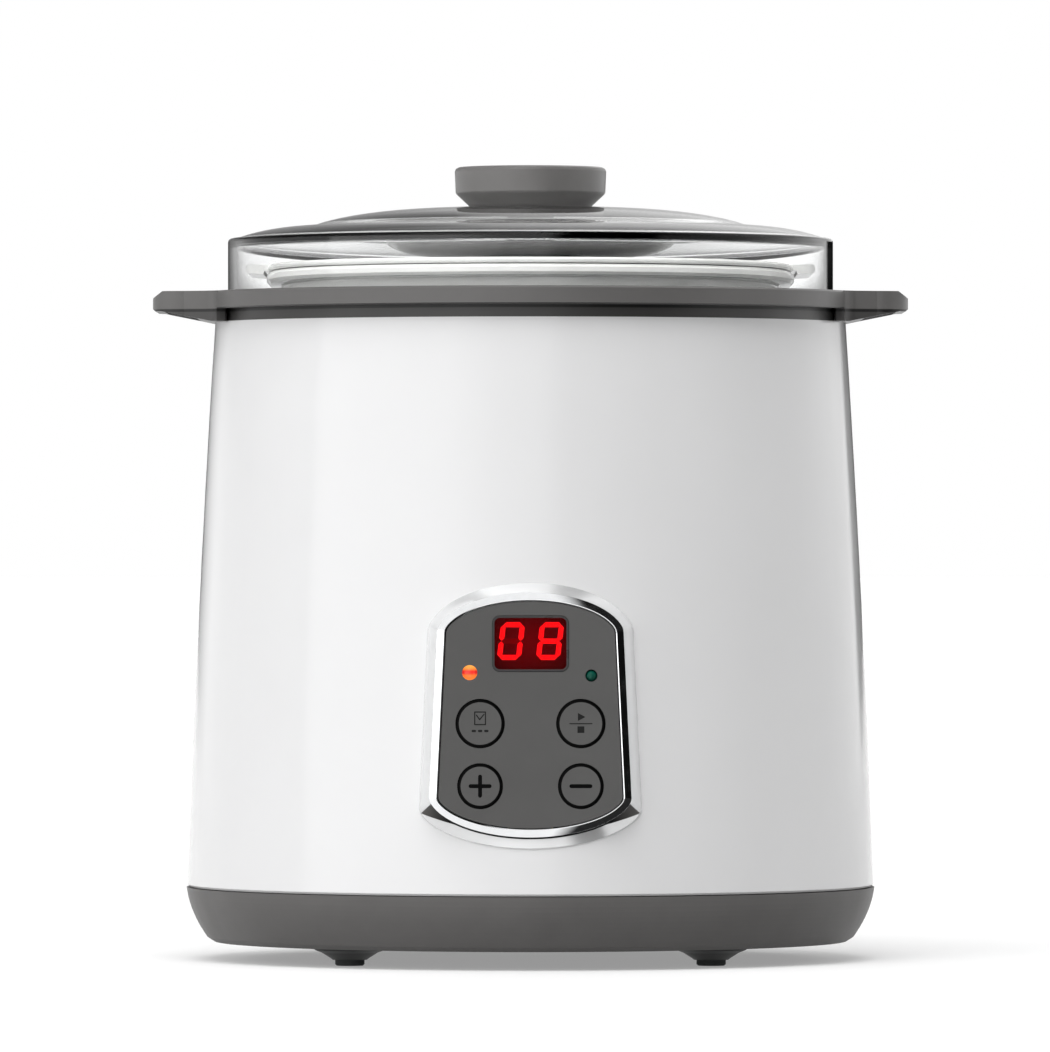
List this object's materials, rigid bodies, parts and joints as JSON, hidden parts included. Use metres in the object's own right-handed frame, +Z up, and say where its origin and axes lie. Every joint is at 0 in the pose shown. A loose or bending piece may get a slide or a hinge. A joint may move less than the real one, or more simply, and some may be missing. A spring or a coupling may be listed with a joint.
{
  "type": "slow cooker",
  "caption": "Water-bath slow cooker: flared housing with side handles and a front panel, metal tank, ceramic pot and lid, and a clear domed outer lid with a knob.",
  "frame": {"origin": "centre of the base at the level of the rubber soles", "axes": "+Z up, -Y towards the control panel, +X to the right seen from the front"},
  "size_m": [0.26, 0.2407, 0.2737],
  "materials": {
    "base_grey": "fine moulded grain, satin",
    "foot_plastic": "satin",
    "pad_rubber": "matt",
    "shell_white": "glossy",
    "rim_grey": "satin",
    "silicone": "matt",
    "tank_metal": "spun",
    "shield_metal": "bright galvanised",
    "heater_metal": "cast",
    "element_metal": "heat-darkened",
    "bracket_metal": "satin",
    "thermostat_plastic": "satin",
    "fuse_body": "satin",
    "circuit_board": "solder-resist gloss",
    "transformer_core": "varnished",
    "relay_blue": "gloss",
    "capacitor_sleeve": "gloss",
    "terminal_plastic": "satin",
    "screw_steel": "zinc plated",
    "inlet_black": "satin",
    "pin_brass": "plated",
    "lead_brown": "satin",
    "lead_white": "glass-fibre braid",
    "ribbon_grey": "satin",
    "frame_chrome": "mirror plated",
    "face_grey": "fine matt",
    "window_red": "gloss",
    "module_black": "satin",
    "digit_red": "lit",
    "lamp_red": "lit",
    "lamp_green": "gloss, unlit",
    "button_grey": "fine matt",
    "pot_glaze": "glossy glaze",
    "lid_glaze": "glossy glaze",
    "lid_clear": "clear, polished",
    "bowl_smoke": "translucent grey",
    "washer_dark": "satin",
    "knob_grey": "satin"
  },
  "bodies": {
    "housing": {"base_housing": "base_grey", "foot_front_left": "foot_plastic", "foot_front_right": "foot_plastic", "foot_rear_left": "foot_plastic", "foot_rear_right": "foot_plastic", "foot_pads": "pad_rubber", "outer_shell": "shell_white", "top_ring": "rim_grey", "tank_gasket": "silicone", "water_tank": "tank_metal", "heat_shield": "shield_metal", "heater_plate": "heater_metal", "heating_element": "element_metal", "heater_bracket": "bracket_metal", "thermostat": "thermostat_plastic", "thermal_fuse": "fuse_body", "temperature_probe": "bracket_metal", "probe_spring": "bracket_metal", "power_board": "circuit_board", "transformer": "transformer_core", "relay": "relay_blue", "capacitors": "capacitor_sleeve", "terminal_block": "terminal_plastic", "board_screws": "screw_steel", "base_screws": "screw_steel", "power_inlet": "inlet_black", "inlet_pins": "pin_brass", "mains_leads": "lead_brown", "heater_leads": "lead_white", "ribbon_cable": "ribbon_grey", "panel_bezel": "frame_chrome", "panel_face": "face_grey", "display_window": "window_red", "display_module": "module_black", "display_segments": "digit_red", "red_lamp": "lamp_red", "green_lamp": "lamp_green", "control_board": "circuit_board", "control_chip": "module_black", "tact_switches": "module_black", "panel_screws": "screw_steel"},
    "pot": {"ceramic_pot": "pot_glaze"},
    "inner_lid": {"ceramic_lid": "lid_glaze"},
    "outer_lid": {"clear_lid": "lid_clear", "drip_bowl": "bowl_smoke", "knob_washer": "washer_dark", "knob_screw": "screw_steel", "lid_knob": "knob_grey"},
    "function_key": {"function_button": "button_grey"},
    "start_key": {"start_button": "button_grey"},
    "plus_key": {"plus_button": "button_grey"},
    "minus_key": {"minus_button": "button_grey"}
  },
  "joints": [
    {"name": "pot_lift", "type": "slide", "parent": "housing", "child": "pot", "axis": [0, 0, 1], "range_m": [0, 0.17]},
    {"name": "inner_lid_lift", "type": "slide", "parent": "pot", "child": "inner_lid", "axis": [0, 0, 1], "range_m": [0, 0.05]},
    {"name": "outer_lid_lift", "type": "slide", "parent": "inner_lid", "child": "outer_lid", "axis": [0, 0, 1], "range_m": [0, 0.08]},
    {"name": "function_press", "type": "slide", "parent": "housing", "child": "function_key", "axis": [0, 0.9992, -0.0401], "range_m": [0, 0.0008], "stiffness_N_per_m": 800},
    {"name": "start_press", "type": "slide", "parent": "housing", "child": "start_key", "axis": [0, 0.9992, -0.0401], "range_m": [0, 0.0008], "stiffness_N_per_m": 800},
    {"name": "plus_press", "type": "slide", "parent": "housing", "child": "plus_key", "axis": [0, 0.9992, -0.0401], "range_m": [0, 0.0008], "stiffness_N_per_m": 800},
    {"name": "minus_press", "type": "slide", "parent": "housing", "child": "minus_key", "axis": [0, 0.9992, -0.0401], "range_m": [0, 0.0008], "stiffness_N_per_m": 800}
  ]
}
